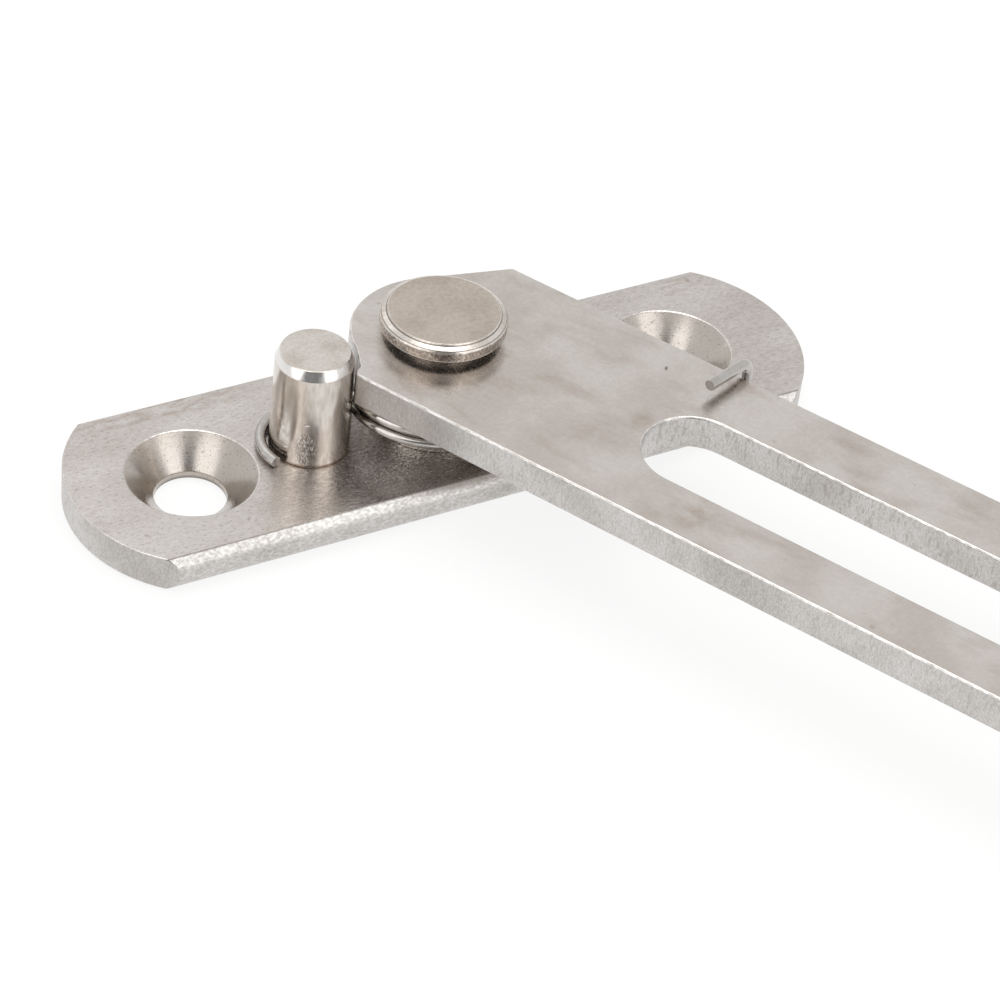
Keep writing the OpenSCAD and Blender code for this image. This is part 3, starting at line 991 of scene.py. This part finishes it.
class RESTRICTOR_OT_torsion_spring(bpy.types.Operator):
    """Winds the torsion spring, which runs from the plate to the arm, and finishes it"""

    bl_idname = "restrictor.torsion_spring"
    bl_label = "Torsion Spring"

    def execute(self, context):
        spring = in_mm(context.scene.restrictor_spring)
        arm = in_mm(context.scene.restrictor_arm)
        turned = in_mm(context.scene.restrictor_turned)
        path, first, last = spring_path(spring, arm, turned)
        wire = traced(
            "torsion_spring_wire", [path], dimensions="3D", bevel_depth=spring["wire"] / 2,
            bevel_resolution=6, use_fill_caps=True,
        )
        finish_piece(wire, None, [drawn_wire(context.scene.restrictor_finish)], smooth=50)
        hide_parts("torsion_spring")
        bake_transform(wire)
        return {"FINISHED"}


class RESTRICTOR_OT_stage(bpy.types.Operator):
    """Sets up the floor, the lamps, the surroundings and the camera"""

    bl_idname = "restrictor.stage"
    bl_label = "Stage"

    def execute(self, context):
        stage = context.scene.restrictor_stage
        # The floor lies just under the plate, so that the two don't share a plane.
        bpy.ops.mesh.primitive_plane_add(size=4, location=(0, 0, -0.2 * MM))
        floor = bpy.context.object
        floor.name = "floor"
        floor.data.materials.append(floor_paper(stage.floor))

        # Each lamp's place and size are in metres, its lean in degrees and its power in watts.
        for name, place, size, tall, lean, power in (
            ("overhead_lamp", (0.05, 0.05, 0.6), 0.4, 0.4, 0, 1.2),
            ("back_lamp", (-0.04, 0.46, 0.39), 0.35, 0.35, 0, 0.16),
            ("left_lamp", (-0.485, -0.171, 0.309), 0.4, 0.7, -30, 0.85),
            ("right_lamp", (0.179, -0.482, 0.309), 0.4, 0.7, 0, 0.85),
        ):
            bpy.ops.object.light_add(type="AREA", location=place)
            lamp = bpy.context.object
            lamp.name = name
            lamp.data.shape = "RECTANGLE"
            lamp.data.size = size
            lamp.data.size_y = tall
            lamp.data.energy = power
            facing = Vector(place).to_track_quat("Z", "Y").to_matrix()
            lamp.rotation_euler = (facing @ Matrix.Rotation(math.radians(lean), 3, "Z")).to_euler()

        surround(context.scene)
        aim = Vector((stage.aim_x, stage.aim_y, PLATE_HIGH.z * MM))
        flat = math.cos(stage.elevation)
        ahead = Vector((math.sin(stage.azimuth), -math.cos(stage.azimuth))) * flat
        back = Vector((*ahead, math.sin(stage.elevation)))
        bpy.ops.object.camera_add(location=aim + back * stage.distance)
        camera = bpy.context.object
        camera.name = "camera"
        turn = back.to_track_quat("Z", "Y").to_matrix() @ Matrix.Rotation(stage.roll, 3, "Z")
        camera.rotation_euler = turn.to_euler()
        camera.data.sensor_width = 36
        camera.data.lens = stage.lens
        camera.data.clip_start = 0.01
        camera.data.clip_end = 10
        context.scene.camera = camera
        context.scene.view_settings.view_transform = "Standard"
        return {"FINISHED"}


def seen(tree):
    """1 for what the camera sees, straight, in metal or through glass, and 0 for what lights the scene."""
    path = add(tree, "LightPath")
    shown = path.outputs["Is Camera Ray"]
    for ray in ("Is Glossy Ray", "Is Transmission Ray"):
        either = {"operation": "MAXIMUM", 0: shown, 1: path.outputs[ray]}
        shown = add(tree, "Math", either)
    return shown


def floor_paper(tone):
    """Matt white paper that shows white and still takes a faint shadow."""
    material = bpy.data.materials.new("white_paper")
    material.use_nodes = True
    tree = material.node_tree
    tree.nodes.clear()
    matt = add(tree, "BsdfDiffuse", {"Color": (*tone, 1)})
    glow = add(tree, "Emission", {"Color": (1, 1, 1, 1), "Strength": 1.0})
    share = add(tree, "Math", {"operation": "MULTIPLY", 0: seen(tree), 1: 0.85})
    sides = {0: share, 1: matt, 2: glow}
    both = add(tree, "MixShader", sides)
    add(tree, "OutputMaterial", {"Surface": both})
    return material


def surround(scene):
    """A white room, dark on the side that the camera stands on."""
    world = bpy.data.worlds.new("white_room")
    scene.world = world
    world.use_nodes = True
    tree = world.node_tree
    tree.nodes.clear()
    direction = add(tree, "TexCoord").outputs["Generated"]
    stage = scene.restrictor_stage
    ahead = (math.sin(stage.azimuth), -math.cos(stage.azimuth), 0)
    across = (-ahead[1], ahead[0], 0)
    toward, aside, up = (
        add(tree, "VectorMath", {"operation": "DOT_PRODUCT", 0: direction, 1: axis})
        for axis in (ahead, across, (0, 0, 1))
    )
    # The dark part leans to one side and narrows upwards.
    lean = add(tree, "Math", {"operation": "MULTIPLY_ADD", 0: up, 1: -0.26, 2: aside})
    off = add(tree, "Math", {"operation": "ABSOLUTE", 0: lean})
    wide = add(tree, "Math", {"operation": "MULTIPLY_ADD", 0: up, 1: 0.45, 2: off})
    low = mask(tree, up, 0.95, 0.7, 0.75)
    in_front = mask(tree, toward, 0.3, 0.5, within=low)
    dark = mask(tree, wide, 0.62, 0.5, within=in_front)
    room = add(tree, "Mix", {"data_type": "RGBA", 0: dark, 6: (0.9, 0.9, 0.9, 1), 7: (0, 0, 0, 1)})
    straight = add(tree, "LightPath").outputs["Is Camera Ray"]
    white = {"data_type": "RGBA", 0: straight, 6: room, 7: (1, 1, 1, 1)}
    light = {"Color": add(tree, "Mix", white), "Strength": 1.0}
    sky = add(tree, "Background", light)
    add(tree, "OutputWorld", {"Surface": sky})


class VIEW3D_PT_restrictor(bpy.types.Panel):
    """Lists the restrictor's pieces, in the order in which they are made"""

    bl_label = "Window Restrictor"
    bl_category = "Restrictor"
    bl_space_type = "VIEW_3D"
    bl_region_type = "UI"

    def draw(self, context):
        for operator in OPERATORS:
            self.layout.operator(operator.bl_idname)
        for group in GROUPS:
            settings = getattr(context.scene, group)
            box = self.layout.box()
            for key in settings.__annotations__:
                box.prop(settings, key)


OPERATORS = (
    RESTRICTOR_OT_base_plate,
    RESTRICTOR_OT_stop_pin,
    RESTRICTOR_OT_pivot_rivet,
    RESTRICTOR_OT_spacer_bush,
    RESTRICTOR_OT_arm,
    RESTRICTOR_OT_torsion_spring,
    RESTRICTOR_OT_stage,
)
GROUPS = {
    "restrictor_plate": RestrictorPlateSizes,
    "restrictor_turned": RestrictorTurnedSizes,
    "restrictor_arm": RestrictorArmSizes,
    "restrictor_spring": RestrictorSpringSizes,
    "restrictor_finish": RestrictorFinish,
    "restrictor_stage": RestrictorStage,
}


CLASSES = (*GROUPS.values(), *OPERATORS, VIEW3D_PT_restrictor)


def register():
    """Registers the classes and gives the scene its groups of values."""
    for made in CLASSES:
        bpy.utils.register_class(made)
    for name, group in GROUPS.items():
        setattr(bpy.types.Scene, name, bpy.props.PointerProperty(type=group))


def unregister():
    """Takes back what register did."""
    for name in GROUPS:
        delattr(bpy.types.Scene, name)
    for made in reversed(CLASSES):
        bpy.utils.unregister_class(made)


def main():
    """Registers the add-on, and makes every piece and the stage."""
    register()
    bpy.ops.object.select_all(action="DESELECT")
    bpy.ops.restrictor.base_plate()
    bpy.ops.restrictor.stop_pin()
    bpy.ops.restrictor.pivot_rivet()
    bpy.ops.restrictor.spacer_bush()
    bpy.ops.restrictor.arm()
    bpy.ops.restrictor.torsion_spring()
    bpy.ops.restrictor.stage()


if __name__ == "__main__":
    main()
